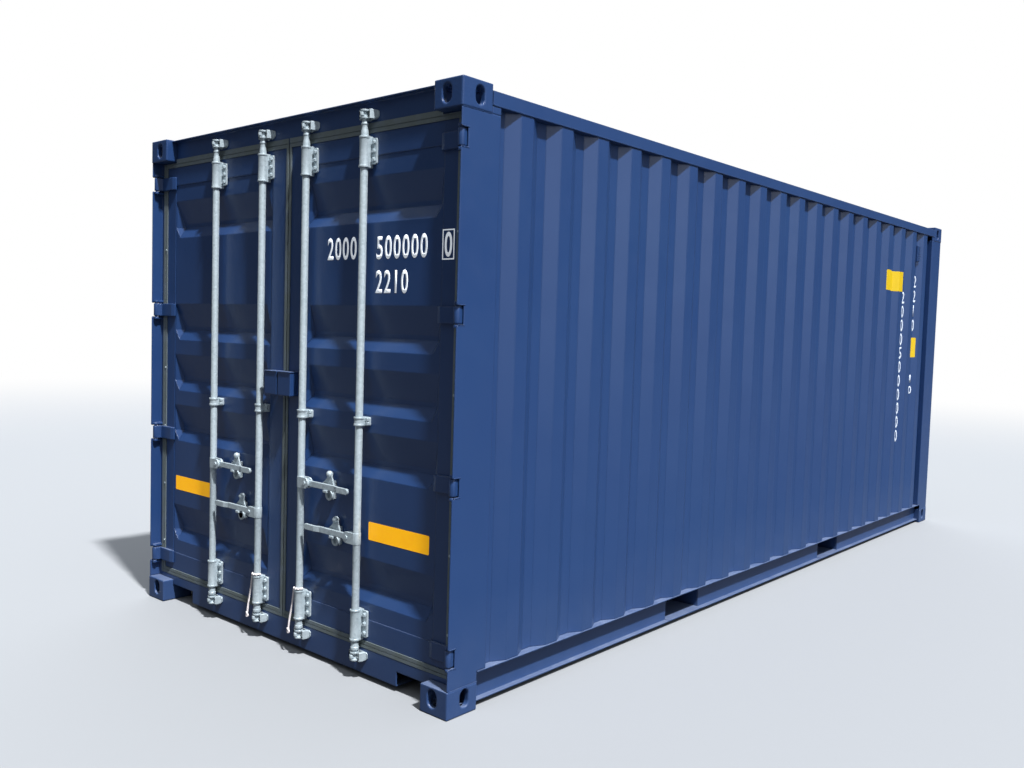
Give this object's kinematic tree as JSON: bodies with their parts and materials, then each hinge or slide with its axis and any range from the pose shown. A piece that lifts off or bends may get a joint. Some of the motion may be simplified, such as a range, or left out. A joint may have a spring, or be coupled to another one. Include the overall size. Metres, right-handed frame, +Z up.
{
  "type": "shipping container",
  "caption": "Steel cargo container with corrugated walls, two hinged end doors on locking bars, a plywood floor, fork pockets and pierced corner fittings.",
  "frame": {"origin": "middle of the footprint, level with the undersides of the bottom corner fittings", "axes": "+Z up, +Y along the length from the door end to the front end, +X to the right as seen from the door end"},
  "size_m": [2.438, 6.058, 2.591],
  "materials": {
    "blue_paint": "satin chlorinated rubber paint, slightly chalked",
    "galvanised": "hot dip galvanised",
    "gasket_rubber": "matt EPDM",
    "plywood": "varnished hardwood plywood",
    "nylon_rope": "twisted nylon"
  },
  "bodies": {
    "container": {"corner_fittings_bottom": "blue_paint", "corner_fittings_top": "blue_paint", "bottom_rail_right": "blue_paint", "bottom_rail_left": "blue_paint", "front_sill": "blue_paint", "door_sill": "blue_paint", "cross_members": "blue_paint", "fork_pockets": "blue_paint", "plywood_floor": "plywood", "door_post_right": "blue_paint", "door_post_left": "blue_paint", "front_posts": "blue_paint", "hinge_lugs": "blue_paint", "top_rail_right": "blue_paint", "top_rail_left": "blue_paint", "front_header": "blue_paint", "door_header": "blue_paint", "roof_panel": "blue_paint", "right_wall": "blue_paint", "left_wall": "blue_paint", "front_wall": "blue_paint", "wall_vents": "blue_paint", "cam_keepers": "galvanised"},
    "right_door": {"right_door_frame": "blue_paint", "right_door_panel": "blue_paint", "right_door_gasket": "gasket_rubber", "right_door_hinges": "blue_paint", "right_bar_brackets": "galvanised", "right_handle_catches": "galvanised", "right_lock_box": "blue_paint", "tie_rope_right": "nylon_rope"},
    "left_door": {"left_door_frame": "blue_paint", "left_door_panel": "blue_paint", "left_door_gasket": "gasket_rubber", "left_door_hinges": "blue_paint", "left_bar_brackets": "galvanised", "left_handle_catches": "galvanised", "left_lock_box": "blue_paint", "tie_rope_left": "nylon_rope"},
    "bar_1": {"lock_bar_1": "galvanised"},
    "bar_2": {"lock_bar_2": "galvanised"},
    "bar_3": {"lock_bar_3": "galvanised"},
    "bar_4": {"lock_bar_4": "galvanised"},
    "grip_1": {"handle_1": "galvanised"},
    "grip_2": {"handle_2": "galvanised"},
    "grip_3": {"handle_3": "galvanised"},
    "grip_4": {"handle_4": "galvanised"}
  },
  "joints": [
    {"name": "right_door_swing", "type": "hinge", "parent": "container", "child": "right_door", "pos_m": [1.197, -3.007, 1.3], "axis": [0, 0, 1], "range_deg": [0, 264]},
    {"name": "left_door_swing", "type": "hinge", "parent": "container", "child": "left_door", "pos_m": [-1.197, -3.007, 1.3], "axis": [0, 0, -1], "range_deg": [0, 264]},
    {"name": "bar_1_turn", "type": "hinge", "parent": "left_door", "child": "bar_1", "pos_m": [-0.596, -2.999, 0.848], "axis": [0, 0, 1], "range_deg": [-110, 0]},
    {"name": "bar_2_turn", "type": "hinge", "parent": "left_door", "child": "bar_2", "pos_m": [-0.176, -2.999, 0.643], "axis": [0, 0, -1], "range_deg": [-110, 0]},
    {"name": "bar_3_turn", "type": "hinge", "parent": "right_door", "child": "bar_3", "pos_m": [0.176, -2.999, 0.848], "axis": [0, 0, 1], "range_deg": [-110, 0]},
    {"name": "bar_4_turn", "type": "hinge", "parent": "right_door", "child": "bar_4", "pos_m": [0.596, -2.999, 0.643], "axis": [0, 0, -1], "range_deg": [-110, 0]},
    {"name": "handle_1_lift", "type": "hinge", "parent": "bar_1", "child": "grip_1", "pos_m": [-0.544, -3.003, 0.848], "axis": [0, 1, 0], "range_deg": [-6, 0]},
    {"name": "handle_2_lift", "type": "hinge", "parent": "bar_2", "child": "grip_2", "pos_m": [-0.228, -3.003, 0.643], "axis": [0, -1, 0], "range_deg": [-6, 0]},
    {"name": "handle_3_lift", "type": "hinge", "parent": "bar_3", "child": "grip_3", "pos_m": [0.228, -3.003, 0.848], "axis": [0, 1, 0], "range_deg": [-6, 0]},
    {"name": "handle_4_lift", "type": "hinge", "parent": "bar_4", "child": "grip_4", "pos_m": [0.544, -3.003, 0.643], "axis": [0, -1, 0], "range_deg": [-6, 0]}
  ]
}
